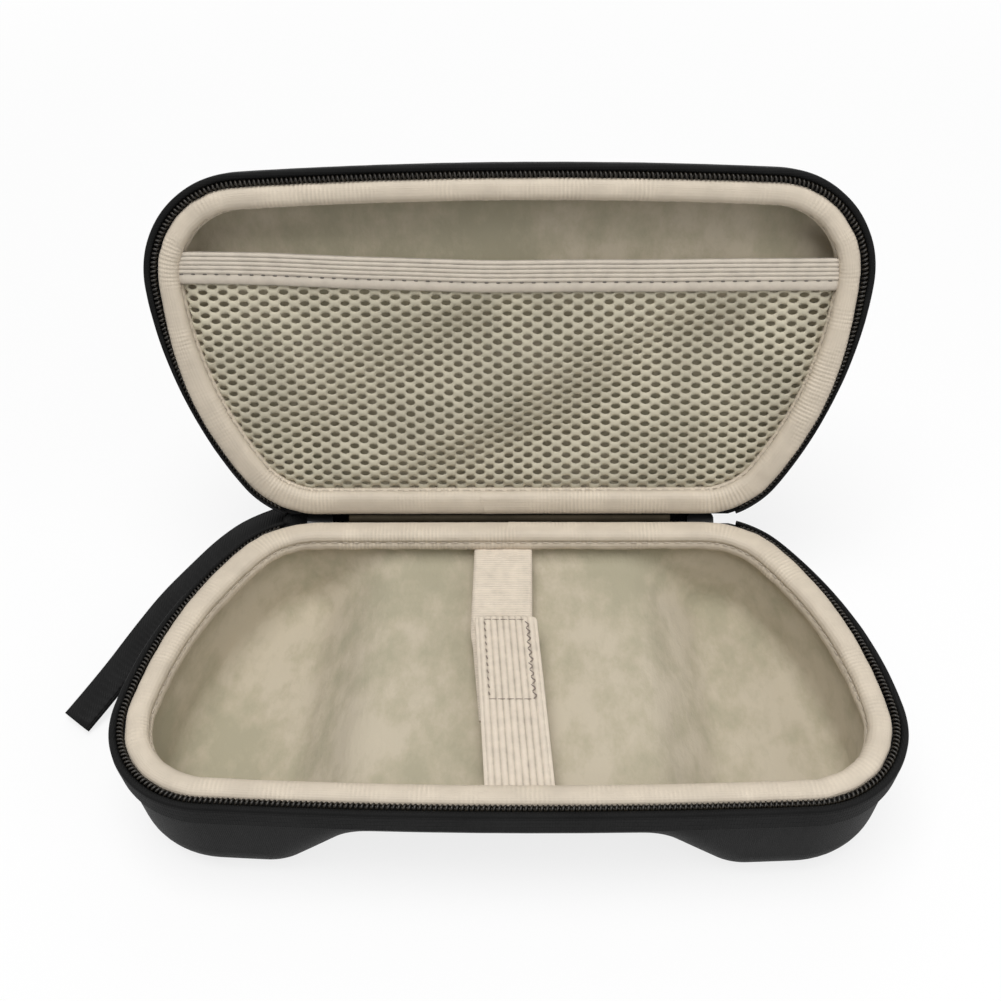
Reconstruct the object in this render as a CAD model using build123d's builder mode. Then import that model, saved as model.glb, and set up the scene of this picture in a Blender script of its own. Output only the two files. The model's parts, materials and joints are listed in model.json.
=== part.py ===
from build123d import *
import os
from math import acos, atan2, cos, degrees, radians, sin, tan

# Zipped hard case for a portable game console, open, in millimetres.
# While it is modelled, the hinge line is the X axis at the height of the parting plane, Y runs
# to the back, and the feet stand at Z = 0. The lid is modelled shut and turned open at the end.

# Rim outline, between the padded binding and the zip
FRONT_HALF_WIDTH = 115.2
REAR_HALF_WIDTH = 82.6
RIM_DEPTH = 113.6
FRONT_CORNER_R = 31.6
REAR_CORNER_R = 29.8
FRONT_BOW = 3.9
SIDE_BOW = 13.9

# Hinge
HINGE_SETBACK = 1.0
OPEN_ANGLE = 110.0
REAR_FLAT = 0.4
HINGE_SHARE = 0.84
HINGE_LEAF = 9.0
HINGE_CLOTH = 0.8

# Moulded shells, with a channel under the base between its two grip wells
BASE_DEPTH = 42.5
BELLY_DEPTH = 22.0
LID_DEPTH = 21.0
WALL = 6.0
SHELL_PROUD = 2.2
DRAFT = 4.0
BASE_EDGE_R = 15.0
LID_EDGE_R = 10.0
CHANNEL_TOP_HALF = 43.0
CHANNEL_FOOT_HALF = 65.0
CHANNEL_TOP_R = 10.0
CHANNEL_FOOT_R = 19.0

# Plush lining, glued inside each shell
LINING = 2.0
GLUE_LINE = 0.1

# Binding: a padded bead on the rim and a hem down the inside
PARTING_GAP = 0.3
BEAD_SETBACK = 1.2
BEAD_WIDTH = 7.0
BEAD_HEIGHT = 2.25
BEAD_R = 1.5
HEM = 1.1
HEM_HEIGHT = 5.0

# Zip fastener, with a slider parked at each end beside the hinge
TAPE = 1.0
TAPE_HEIGHT = 8.6
TAPE_TOP = 0.5
COIL_WIDTH = 2.2
COIL_HEIGHT = 2.2
COIL_R = 0.8
END_CLOTH = 0.8
END_SEAM = 9.0
END_HEM = 3.0
END_REACH = 8.0
CHAIN_R = 1.1
SLIDER_LENGTH = 9.4
SLIDER_WIDTH = 7.6
SLIDER_R = 2.4
SLIDER_PLATE = 1.2
SLIDER_THROAT = 2.8
SLIDER_POST = 2.2
BAIL_LEG = 1.3
BAIL_R = 2.4
BAIL = 1.0
BAIL_WIDTH = 1.6
PULL_LENGTH = 20.0
PULL_WIDTH = 6.0
PULL = 1.6
PULL_EYE = 0.8
PULL_R = 1.8

# Mesh pocket in the lid, under an elastic band
MESH = 0.8
MESH_DROP = 3.0
MESH_HOLE_R = 4.6
MESH_PITCH = 12.6
MESH_BORDER = 4.0
BAND_Y = -86.0
BAND_HEIGHT = 10.6
BAND = 1.2

# Hold-down strap in the base, in two pieces joined by hook and loop pads
STRAP_WIDTH = 20.5
STRAP = 1.2
STRAP_DROP = 3.4
STRAP_CORNER_R = 2.5
REAR_STRAP_X = -2.0
FRONT_STRAP_X = -0.6
FRONT_STRAP_Y = -44.0
FRONT_STRAP_YAW = 4.4
PAD_WIDTH = 17.0
PAD_LENGTH = 36.0
PAD = 1.0
PAD_MARGIN = 2.0

# Hand strap, a flat loop sewn in at the left end of the zip; heights are from the parting plane
HAND_STRAP_WIDTH = 12.0
HAND_STRAP = 2.6
STRAP_BEND_SHARE = 0.45
HAND_STRAP_ROUTE = [
    (-81.2, 7.0, -6.2),
    (-91.0, 2.2, -6.3),
    (-100.6, -5.3, -8.6),
    (-110.0, -14.8, -13.0),
    (-120.0, -24.3, -18.5),
    (-129.0, -33.6, -26.0),
    (-139.4, -46.6, -34.6),
    (-149.6, -60.2, -40.4),
]

# General fit between soft pieces
CLEARANCE = 0.2

RIM_Z = BASE_DEPTH
HINGE = Axis((0, 0, RIM_Z), (1, 0, 0))
# Section across the hinge line, whose X runs out midway between the two rear walls
HALF_FOLD = radians(90 - OPEN_ANGLE / 2)
FOLD_PLANE = Plane((0, 0, RIM_Z), x_dir=(0, sin(HALF_FOLD), -cos(HALF_FOLD)), z_dir=(1, 0, 0))
HALF_GAP = PARTING_GAP / 2
SHELL_DROP = HALF_GAP + BEAD_HEIGHT + GLUE_LINE
LINING_OUT = SHELL_PROUD - WALL - GLUE_LINE
HEM_OUT = LINING_OUT - LINING - GLUE_LINE
REAR_Y = -HINGE_SETBACK
FRONT_Y = REAR_Y - RIM_DEPTH - FRONT_BOW
FAR = 400.0


def rim_arcs():
    """Arcs of the rim's right half from back to front, tangent to each other: centre, radius, angles."""
    rear = Vector(REAR_HALF_WIDTH, REAR_Y)
    front = Vector(FRONT_HALF_WIDTH, REAR_Y - RIM_DEPTH)
    chord = front - rear
    side_r = chord.length**2 / (8 * SIDE_BOW) + SIDE_BOW / 2
    outward = Vector(-chord.Y, chord.X).normalized()
    side = (rear + front) / 2 - outward * (side_r - SIDE_BOW)
    front_r = FRONT_HALF_WIDTH**2 / (2 * FRONT_BOW) + FRONT_BOW / 2
    nose = Vector(0, FRONT_Y + front_r)

    rear_y = REAR_Y - REAR_CORNER_R
    rear_x = side.X + ((side_r - REAR_CORNER_R) ** 2 - (rear_y - side.Y) ** 2) ** 0.5
    rear_corner = Vector(rear_x, rear_y)

    # the front corner's centre is where the side's and the nose's arcs meet, moved in by its radius
    reach_side = side_r - FRONT_CORNER_R
    reach_nose = front_r - FRONT_CORNER_R
    link = nose - side
    along = (reach_side**2 - reach_nose**2 + link.length**2) / (2 * link.length)
    across = (reach_side**2 - along**2) ** 0.5
    aside = Vector(link.Y, -link.X).normalized()
    front_corner = side + link.normalized() * along + aside * across

    turn_rear = bearing(side, rear_corner)
    turn_side = bearing(side, front_corner)
    turn_front = bearing(nose, front_corner)
    return [
        (rear_corner, REAR_CORNER_R, 90, turn_rear),
        (side, side_r, turn_rear, turn_side),
        (front_corner, FRONT_CORNER_R, turn_side, turn_front),
        (nose, front_r, turn_front, -180 - turn_front),
    ]


def bearing(start, end):
    """Direction from one point to another, in degrees."""
    return degrees(atan2(end.Y - start.Y, end.X - start.X))


def rim_outline(grow, level):
    """Outline of the rim on a level plane, grown outward by a distance."""
    arcs = rim_arcs()
    rear_x = arcs[0][0].X
    with BuildSketch(Plane.XY.offset(level)) as outline:
        with BuildLine():
            Line((-rear_x, REAR_Y + grow), (rear_x, REAR_Y + grow))
            for centre, radius, first, last in arcs:
                CenterArc(centre, radius + grow, first, last - first)
            for centre, radius, first, last in arcs[:-1]:
                CenterArc((-centre.X, centre.Y), radius + grow, 180 - first, first - last)
        make_face()
    return outline.sketch


def rim_band(inner, outer, near, far, side):
    """Ring along the rim, between two distances from its outline and two from the parting plane.

    side is -1 below the parting plane and 1 above it."""
    level = RIM_Z + side * near
    extrude(rim_outline(outer, level), amount=far - near, dir=(0, 0, side))
    extrude(rim_outline(inner, level), amount=far - near, dir=(0, 0, side), mode=Mode.SUBTRACT)


def underside_profile(inset):
    """Everything below the base, seen from the front: two feet with a channel between them."""
    deep = BASE_DEPTH
    with BuildSketch(Plane.XZ) as profile:
        with BuildLine():
            right = [
                (CHANNEL_TOP_HALF, BASE_DEPTH - BELLY_DEPTH),
                (CHANNEL_FOOT_HALF, 0),
                (FAR, 0),
                (FAR, -deep),
            ]
            left = [(-x, z) for x, z in reversed(right)]
            Polyline(*right, *left, close=True)
        make_face()
        corners = [v for v in profile.vertices() if abs(v.X) < FAR / 2]
        fillet([v for v in corners if v.Y > BASE_DEPTH / 4], CHANNEL_TOP_R)
        feet = [v for v in profile.vertices() if abs(abs(v.X) - CHANNEL_FOOT_HALF) < CLEARANCE]
        fillet(feet, CHANNEL_FOOT_R)
        if inset:
            offset(amount=inset, kind=Kind.ARC)
    return profile.sketch


def drafted_block(grow, rim_level, end_level, mode=Mode.ADD):
    """Block with the rim's outline at one level, narrowing by the mould's draft to another."""
    setback = abs(end_level - rim_level) * tan(radians(DRAFT))
    near = rim_outline(grow, rim_level).face()
    far = rim_outline(grow - setback, end_level).face()
    loft([near, far], ruled=True, mode=mode)


def base_form(inset, top):
    """Solid form of the base, shrunk on every side by inset, from a height down to its feet."""
    with BuildPart() as form:
        drafted_block(SHELL_PROUD - inset, top, -1)
        extrude(underside_profile(inset), amount=FAR, both=True, mode=Mode.SUBTRACT)
        lower = [e for e in form.edges() if e.bounding_box().max.Z < top - 1]
        lengthwise = form.edges().filter_by(Axis.Y)
        fillet([e for e in lower if e not in lengthwise], BASE_EDGE_R - inset)
    return form.part


def lid_form(inset, bottom):
    """Solid form of the shut lid, shrunk on every side by inset, from a height up to its top."""
    top = RIM_Z + LID_DEPTH - inset
    with BuildPart() as form:
        drafted_block(SHELL_PROUD - inset, bottom, top)
        fillet(form.faces().sort_by(Axis.Z)[-1].edges(), LID_EDGE_R - inset)
    return form.part


def drafted_ring(inner, outer, near, far, side):
    """Ring that follows the drafted wall, between two distances from the rim's outline."""
    levels = RIM_Z + side * near, RIM_Z + side * far
    drafted_block(outer, *levels)
    drafted_block(inner, *levels, mode=Mode.SUBTRACT)


def binding_ring(side):
    """Padded bead on the rim, with its hem against the lining."""
    foot = HALF_GAP + BEAD_HEIGHT
    rim_band(-BEAD_SETBACK - BEAD_WIDTH, -BEAD_SETBACK, HALF_GAP, foot, side)
    fillet(faces().sort_by(Axis.Z)[-1 if side < 0 else 0].edges(), BEAD_R)
    drafted_ring(HEM_OUT - HEM, HEM_OUT, foot, foot + HEM_HEIGHT, side)


def flatten_rear():
    """Cut the back of a shell flat, just in front of the hinge line."""
    with Locations((0, FAR / 2 - REAR_FLAT, RIM_Z)):
        Box(2 * FAR, FAR, FAR, mode=Mode.SUBTRACT)


def ring_end(outer):
    """Half the width of a ring's opening at the back that keeps it in front of the hinge line."""
    turn = acos((REAR_CORNER_R + HINGE_SETBACK - HALF_GAP) / (REAR_CORNER_R + outer))
    return rear_edge_half + (REAR_CORNER_R + outer) * sin(turn)


def cut_rear(half_width):
    """Open a ring at the back, over the hinge."""
    with Locations((0, 0, RIM_Z)):
        Box(2 * half_width, REAR_CORNER_R, RIM_DEPTH, mode=Mode.SUBTRACT)


def zip_tape_ring(side):
    """Zip tape: folded over the edge of the wall, from the coil down the outside."""
    inner = TAPE_IN + (SHELL_DROP - TAPE_TOP) * tan(radians(DRAFT))
    drafted_ring(inner, inner + TAPE, TAPE_TOP, TAPE_TOP + TAPE_HEIGHT, side)
    rim_band(COIL_OUT + GLUE_LINE, inner + CLEARANCE, TAPE_TOP, TAPE_TOP + TAPE, side)
    cut_rear(tape_end)


def zip_coil_ring(side):
    """Coil between the tape and the binding, as a plain cord."""
    level = RIM_Z + side * HALF_GAP
    extrude(rim_outline(COIL_OUT, level), amount=COIL_HEIGHT, dir=(0, 0, side))
    fillet(edges().group_by(Axis.Z)[0] + edges().group_by(Axis.Z)[-1], COIL_R)
    inner = rim_outline(COIL_OUT - COIL_WIDTH, level)
    extrude(inner, amount=COIL_HEIGHT, dir=(0, 0, side), mode=Mode.SUBTRACT)
    cut_rear(coil_end)


def fold_section(sketch, start, length, mode=Mode.ADD):
    """Extrude a section drawn on the fold plane, from a distance along the hinge line."""
    extrude(sketch.moved(Location((start, 0, 0))), amount=length, mode=mode)


def zip_end(side):
    """End of the zip beside the hinge: both tapes leave the walls and meet in the closed chain."""
    off = GLUE_LINE + END_CLOTH / 2 - REAR_FLAT
    wall = [
        (q * cos(HALF_FOLD) + off * sin(HALF_FOLD), off * cos(HALF_FOLD) - q * sin(HALF_FOLD))
        for q in (END_SEAM + END_HEM, END_SEAM)
    ]
    flank = (CHAIN_U, -END_FLANK)
    half = [*wall, flank]
    with BuildSketch(FOLD_PLANE) as section:
        with BuildLine():
            Polyline(*half, *[(u, -v) for u, v in reversed(half)])
            offset(amount=END_CLOTH / 2)
        make_face()
    with BuildSketch(FOLD_PLANE) as split:
        with Locations((CHAIN_U, 0)):
            Rectangle(SLIDER_THROAT, SLIDER_POST + 4 * CLEARANCE)
    with BuildSketch(FOLD_PLANE) as chain:
        with Locations((CHAIN_U, 0)):
            Circle(CHAIN_R)
    half_length = side * END_LENGTH / 2
    fold_section(section.sketch, side * END_X, 2 * half_length)
    fold_section(split.sketch, side * END_X + half_length, half_length, Mode.SUBTRACT)
    fold_section(chain.sketch, side * END_X, half_length)


def slider_plane(side):
    """Plane of the slider, in the middle of the chain, facing out along the fold."""
    centre = FOLD_PLANE.from_local_coords(Vector(CHAIN_U, 0, side * (END_X + END_LENGTH / 2)))
    return Plane(centre, x_dir=(side, 0, 0), z_dir=FOLD_PLANE.x_dir)


def slider_body(side):
    """Two plates joined by a post at the open end, with a bail on the outer plate."""
    plane = slider_plane(side)
    half = SLIDER_THROAT / 2
    for level in (half, -half - SLIDER_PLATE):
        with BuildSketch(plane.offset(level)) as plate:
            RectangleRounded(SLIDER_LENGTH, SLIDER_WIDTH, SLIDER_R)
        extrude(plate.sketch, amount=SLIDER_PLATE)
    with BuildSketch(plane.offset(-half)) as post:
        with Locations((SLIDER_LENGTH / 2 - SLIDER_POST, 0)):
            Circle(SLIDER_POST / 2)
    extrude(post.sketch, amount=SLIDER_THROAT)
    bail_plane = Plane(plane.offset(half + SLIDER_PLATE).origin, x_dir=plane.x_dir, z_dir=-plane.y_dir)
    outer = BAIL_R + BAIL / 2
    with BuildSketch(bail_plane) as bail:
        for radius, mode in ((outer, Mode.ADD), (outer - BAIL, Mode.SUBTRACT)):
            with Locations((0, BAIL_LEG)):
                Circle(radius, mode=mode)
            with Locations((0, BAIL_LEG / 2)):
                Rectangle(2 * radius, BAIL_LEG, mode=mode)
        with Locations((0, -outer)):
            Rectangle(4 * outer, 2 * outer, mode=Mode.SUBTRACT)
    extrude(bail.sketch, amount=BAIL_WIDTH / 2, both=True)


def pull_pivot(side):
    """Plane at the middle of the bail's bend, across which the pull tab swings."""
    plane = slider_plane(side)
    return plane.offset(SLIDER_THROAT / 2 + SLIDER_PLATE + BAIL_LEG)


def pull_tab(side):
    """Flat tab that hangs on the bail by an eye at its top."""
    pivot = pull_pivot(side)
    face = Plane(pivot.origin, x_dir=pivot.y_dir, z_dir=pivot.x_dir)
    inside = BAIL_R - BAIL / 2 - CLEARANCE
    outside = BAIL_R + BAIL / 2 + CLEARANCE
    with BuildSketch(face) as tab:
        with Locations((0, inside - PULL_EYE + PULL_LENGTH / 2)):
            RectangleRounded(PULL_WIDTH, PULL_LENGTH, PULL_R)
        with Locations((0, (inside + outside) / 2)):
            Rectangle(BAIL_WIDTH + 2 * CLEARANCE, outside - inside, mode=Mode.SUBTRACT)
    extrude(tab.sketch, amount=PULL / 2, both=True)


def pocket_region(low_y, high_y, near, thickness):
    """Flat piece across the shut lid inside its hem, between two lines that run side to side."""
    level = RIM_Z + near
    with BuildSketch(Plane.XY.offset(level)) as strip:
        with Locations((0, (low_y + high_y) / 2)):
            Rectangle(FAR, high_y - low_y)
    extrude(strip.sketch, amount=thickness)
    extrude(rim_outline(hem_inside(near), level), amount=thickness, mode=Mode.INTERSECT)


def hem_inside(drop):
    """How far the hem's inner face, less a clearance, is from the rim's outline at a depth."""
    below = max(drop - HALF_GAP - BEAD_HEIGHT, 0) + STRAP
    return HEM_OUT - HEM - CLEARANCE - below * tan(radians(DRAFT))


def strap_piece(x, y, yaw, width, length, drop, thickness, corner_r):
    """Flat piece of strap or pad that runs to the front from the middle of its rear end."""
    with BuildSketch(Plane.XY.offset(RIM_Z - drop)) as strip:
        with Locations(Location((x, y, 0), (0, 0, yaw))):
            with Locations((0, -length / 2)):
                RectangleRounded(width, length, corner_r)
    extrude(strip.sketch, amount=thickness, dir=(0, 0, -1))


def within_hem(drop, thickness):
    """Trim a strap where it meets the hem."""
    outline = rim_outline(hem_inside(drop), RIM_Z - drop)
    extrude(outline, amount=thickness, dir=(0, 0, -1), mode=Mode.INTERSECT)


TAPE_IN = SHELL_PROUD + GLUE_LINE
COIL_OUT = COIL_WIDTH + GLUE_LINE - BEAD_SETBACK
rear_edge_half = rim_arcs()[0][0].X
tape_end = ring_end(TAPE_IN + TAPE + CLEARANCE)
coil_end = ring_end(COIL_OUT)
hinge_half = HINGE_SHARE * rear_edge_half
END_X = hinge_half + CLEARANCE
END_LENGTH = tape_end - CLEARANCE - END_X
END_FLANK = SLIDER_WIDTH / 2 + END_CLOTH / 2 + CLEARANCE
base_top = RIM_Z - SHELL_DROP
lid_bottom = RIM_Z + SHELL_DROP
lining_inset = WALL + GLUE_LINE

# Chain at the end of the zip: how far out along the fold the tapes' free length lets it hang
seam_u = END_SEAM * cos(HALF_FOLD)
seam_v = END_SEAM * sin(HALF_FOLD)
CHAIN_U = seam_u + ((END_REACH - END_FLANK) ** 2 - (seam_v - END_FLANK) ** 2) ** 0.5

with BuildPart() as base_shell:
    add(base_form(0, base_top))
    add(base_form(WALL, base_top), mode=Mode.SUBTRACT)
    flatten_rear()

with BuildPart() as base_lining:
    add(base_form(lining_inset, base_top))
    add(base_form(lining_inset + LINING, base_top), mode=Mode.SUBTRACT)

with BuildPart() as base_binding:
    binding_ring(-1)

with BuildPart() as base_zip_tape:
    zip_tape_ring(-1)

with BuildPart() as base_zip_coil:
    zip_coil_ring(-1)

with BuildPart() as lid_shell:
    add(lid_form(0, lid_bottom))
    add(lid_form(WALL, lid_bottom), mode=Mode.SUBTRACT)
    flatten_rear()

with BuildPart() as lid_lining:
    add(lid_form(lining_inset, lid_bottom))
    add(lid_form(lining_inset + LINING, lid_bottom), mode=Mode.SUBTRACT)

with BuildPart() as lid_binding:
    binding_ring(1)

with BuildPart() as lid_zip_tape:
    zip_tape_ring(1)

with BuildPart() as lid_zip_coil:
    zip_coil_ring(1)

# Hinge cloth, folded over the hinge line between the two rear walls
with BuildPart() as hinge_strip:
    leaf_y = GLUE_LINE + HINGE_CLOTH / 2 - REAR_FLAT
    with BuildSketch(Plane.YZ.offset(-hinge_half)):
        with Locations((leaf_y, RIM_Z - HINGE_LEAF / 2)):
            Rectangle(HINGE_CLOTH, HINGE_LEAF)
        with Locations(Location((0, RIM_Z, 0), (0, 0, -OPEN_ANGLE))):
            with Locations((leaf_y, HINGE_LEAF / 2)):
                Rectangle(HINGE_CLOTH, HINGE_LEAF)
        with Locations((0, RIM_Z)):
            Circle(HINGE_CLOTH / 2)
    extrude(amount=2 * hinge_half)

with BuildPart() as zip_end_left:
    zip_end(-1)

with BuildPart() as zip_end_right:
    zip_end(1)

with BuildPart() as slider_left:
    slider_body(-1)

with BuildPart() as slider_right:
    slider_body(1)

with BuildPart() as pull_left:
    pull_tab(-1)

with BuildPart() as pull_right:
    pull_tab(1)

# Mesh pocket: a flat net with staggered six-sided gaps, behind the elastic band
with BuildPart() as mesh_pocket:
    mesh_top = BAND_Y + BAND_HEIGHT / 2
    pocket_region(mesh_top, 0, MESH_DROP, MESH)
    room = rim_outline(hem_inside(MESH_DROP) - MESH_BORDER - MESH_HOLE_R, RIM_Z + MESH_DROP).face()
    row_step = MESH_PITCH * sin(radians(60))
    first_y = mesh_top + MESH_BORDER + MESH_HOLE_R
    rows = int((REAR_Y - first_y) / row_step) + 1
    columns = int(FRONT_HALF_WIDTH / MESH_PITCH) + 1
    spots = [
        Vector((i + row % 2 / 2) * MESH_PITCH, first_y + row * row_step, RIM_Z + MESH_DROP)
        for row in range(rows)
        for i in range(-columns, columns + 1)
    ]
    with BuildSketch(Plane.XY.offset(RIM_Z + MESH_DROP)) as gaps:
        with Locations(*[(v.X, v.Y) for v in spots if room.is_inside(v)]):
            RegularPolygon(MESH_HOLE_R, 6, rotation=30)
    extrude(gaps.sketch, amount=MESH, mode=Mode.SUBTRACT)

with BuildPart() as pocket_elastic:
    pocket_region(BAND_Y - BAND_HEIGHT / 2, BAND_Y + BAND_HEIGHT / 2, MESH_DROP + MESH - BAND, BAND)

# Hold-down strap: from the top down, front strap, hook pad, loop pad and rear strap
hook_drop = STRAP_DROP + STRAP
loop_drop = hook_drop + PAD
rear_drop = loop_drop + PAD
pad_y = FRONT_STRAP_Y - PAD_MARGIN
rear_strap_length = -(pad_y - PAD_LENGTH - PAD_MARGIN)

with BuildPart() as front_strap:
    spot = (FRONT_STRAP_X, FRONT_STRAP_Y, FRONT_STRAP_YAW)
    strap_piece(*spot, STRAP_WIDTH, RIM_DEPTH, STRAP_DROP, STRAP, STRAP_CORNER_R)
    within_hem(STRAP_DROP, STRAP)

with BuildPart() as hook_pad:
    strap_piece(FRONT_STRAP_X, pad_y, FRONT_STRAP_YAW, PAD_WIDTH, PAD_LENGTH, hook_drop, PAD, STRAP_CORNER_R)

with BuildPart() as loop_pad:
    strap_piece(REAR_STRAP_X, pad_y, 0, PAD_WIDTH, PAD_LENGTH, loop_drop, PAD, STRAP_CORNER_R)

with BuildPart() as rear_strap:
    strap_piece(REAR_STRAP_X, 0, 0, STRAP_WIDTH, rear_strap_length, rear_drop, STRAP, STRAP_CORNER_R)
    within_hem(rear_drop, STRAP)

# Hand strap: straight runs joined by bends as wide as the runs allow
with BuildPart() as hand_strap:
    stops = [Vector(x, y, RIM_Z + z) for x, y, z in HAND_STRAP_ROUTE]
    runs = [b - a for a, b in zip(stops, stops[1:])]
    radii = [
        STRAP_BEND_SHARE * min(a.length, b.length) / tan(radians(a.get_angle(b) / 2))
        for a, b in zip(runs, runs[1:])
    ]
    print("hand strap bends, mm:", [round(r, 1) for r in radii])
    with BuildLine() as route:
        FilletPolyline(*stops, radius=radii)
    across = Vector(0, 0, 1).cross(runs[0])
    with BuildSketch(Plane(stops[0], x_dir=across, z_dir=runs[0])):
        Rectangle(HAND_STRAP_WIDTH, HAND_STRAP)
    sweep(path=route.line)
    print("hand strap length, mm:", round(route.wire().length, 1))

base_nodes = {
    "base_shell": base_shell,
    "base_lining": base_lining,
    "base_binding": base_binding,
    "base_zip_tape": base_zip_tape,
    "base_zip_coil": base_zip_coil,
    "hinge_strip": hinge_strip,
    "zip_end_left": zip_end_left,
    "zip_end_right": zip_end_right,
    "slider_left": slider_left,
    "slider_right": slider_right,
    "pull_left": pull_left,
    "pull_right": pull_right,
    "front_strap": front_strap,
    "hook_pad": hook_pad,
    "loop_pad": loop_pad,
    "rear_strap": rear_strap,
    "hand_strap": hand_strap,
}
lid_nodes = {
    "lid_shell": lid_shell,
    "lid_lining": lid_lining,
    "lid_binding": lid_binding,
    "lid_zip_tape": lid_zip_tape,
    "lid_zip_coil": lid_zip_coil,
    "mesh_pocket": mesh_pocket,
    "pocket_elastic": pocket_elastic,
}

# Open the lid, then put the origin under the middle of the open case
solids = {name: piece.part for name, piece in base_nodes.items()}
solids.update({name: piece.part.rotate(HINGE, -OPEN_ANGLE) for name, piece in lid_nodes.items()})
boxes = [solid.bounding_box() for name, solid in solids.items() if name != "hand_strap"]
middle_y = (min(b.min.Y for b in boxes) + max(b.max.Y for b in boxes)) / 2
to_origin = Location((0, -middle_y, 0))

os.makedirs("parts", exist_ok=True)
for name, solid in solids.items():
    placed = solid.moved(to_origin)
    placed.label = name
    export_step(placed, f"parts/{name}.step")
print("hinge line at Y, Z, mm:", round(-middle_y, 3), RIM_Z)
for side in (-1, 1):
    pivot = pull_pivot(side)
    print("pull pivot, mm:", pivot.origin - Vector(0, middle_y, 0), "axis", pivot.y_dir)
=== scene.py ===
import json
import math

import bmesh
import bpy
import numpy as np
from mathutils import Matrix, Vector, noise


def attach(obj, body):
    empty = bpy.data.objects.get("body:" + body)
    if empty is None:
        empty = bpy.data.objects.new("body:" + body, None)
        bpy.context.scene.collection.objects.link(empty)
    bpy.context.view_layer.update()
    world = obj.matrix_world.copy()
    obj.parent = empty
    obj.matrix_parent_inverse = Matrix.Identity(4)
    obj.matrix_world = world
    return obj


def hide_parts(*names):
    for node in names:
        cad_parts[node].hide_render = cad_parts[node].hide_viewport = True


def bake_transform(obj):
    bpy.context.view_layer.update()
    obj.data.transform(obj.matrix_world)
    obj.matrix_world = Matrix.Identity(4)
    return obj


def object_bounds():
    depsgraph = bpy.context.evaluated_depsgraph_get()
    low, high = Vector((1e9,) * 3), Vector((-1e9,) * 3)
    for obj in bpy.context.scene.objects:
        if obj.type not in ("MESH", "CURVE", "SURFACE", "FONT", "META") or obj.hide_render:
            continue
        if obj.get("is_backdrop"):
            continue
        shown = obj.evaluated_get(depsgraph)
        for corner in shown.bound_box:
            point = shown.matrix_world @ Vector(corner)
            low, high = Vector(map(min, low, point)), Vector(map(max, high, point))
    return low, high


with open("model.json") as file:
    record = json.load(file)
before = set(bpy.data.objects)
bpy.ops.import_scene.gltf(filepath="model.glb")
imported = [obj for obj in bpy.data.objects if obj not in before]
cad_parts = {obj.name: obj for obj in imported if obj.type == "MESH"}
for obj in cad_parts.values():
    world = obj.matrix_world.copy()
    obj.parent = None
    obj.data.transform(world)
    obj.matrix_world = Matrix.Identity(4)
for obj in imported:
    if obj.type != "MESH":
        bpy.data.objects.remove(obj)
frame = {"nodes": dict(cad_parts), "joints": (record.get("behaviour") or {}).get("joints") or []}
cad_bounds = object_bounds()

# Open zipped case for a handheld console. Lengths below are millimetres, and MM turns them into
# Blender's metres. Pieces are laid out flat to the parting plane, as if the case were shut: x along
# the hinge line, y to the back from the hinge, and depth away from the parting plane into each half.
MM = 0.001

# Rim outline, between the binding and the zip
FRONT_HALF_WIDTH = 115.2
REAR_HALF_WIDTH = 82.6
RIM_DEPTH = 113.6
FRONT_CORNER_R = 31.6
REAR_CORNER_R = 29.8
FRONT_BOW = 3.9
SIDE_BOW = 13.9
HINGE_SETBACK = 1.0
REAR_WALL_Y = -0.4
PARTING = 0.15
DRAFT = math.tan(math.radians(4.0))

# Binding: a padded bead, a stitched groove and a hem
BEAD_MIDDLE = -4.7
BEAD_HALF = 3.5
BEAD_OUTER_DROP = 2.3
BEAD_INNER_DROP = 3.0
SEAM_STEP = 0.45
BEAD_REACH = 2.8
BEAD_REACH_REAR = 1.6
SEWING_IN = 8.0
SEWING_DEPTH = 3.5
SEAM_S = {"base": -1.0, "lid": -9.5}

# Zip
TAPE_OUT = 3.45
TAPE = 1.0
TAPE_TOP = 0.5
TAPE_FOOT = 9.1
COIL_HALF = 1.1
COIL_HEIGHT = 2.2
COIL_PITCH = 1.5
COIL_WIRE_R = 0.36
HINGE_HALF = 57.5
HINGE_LEAF = 9.0
HINGE_CLOTH = 0.8
END_CLOTH = 0.8
END_SEAM = 9.0
END_HEM = 3.0
END_FLANK = 4.4
END_TUCK = 1.6
END_NOTCH = 10.5
END_GATHER = 0.75
END_GATHER_FROM = 13.0
CHAIN_U = 10.92
END_BEND = [(CHAIN_U, 4.2), (9.9, 5.0)]
COIL_START = 2.0

# Distances out from the rim of the tape where it shows, and where it is tucked in beside the hinge
TUCK_FROM = (1.2, 2.45, 3.55)
TUCK_TO = (1.7, 2.3, 2.55)

# Stretch from the hinge over which the zip comes out from behind the binding
ZIP_SHOWS = {"base": (-4.0, -78.0), "lid": (-34.0, -84.0)}

# Pocket in the lid
NET_PITCH = 3.93
NET_HOLE_WIDTH = 3.4
NET_HOLE_HEIGHT = 1.95
NET = 0.5
NET_DEPTH = 3.5
NET_EDGE_DEPTH = 5.0
NET_INSET = 7.4
BAND_Y = -85.6
BAND_HEIGHT = 10.6
BAND_DEPTH = 2.7
BAND_SEWING = 1.9
BAND_INSET = 7.6
BAND_RISE = 3.6
BAND_RIB_PITCH = 1.44
BAND = 1.1

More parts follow.
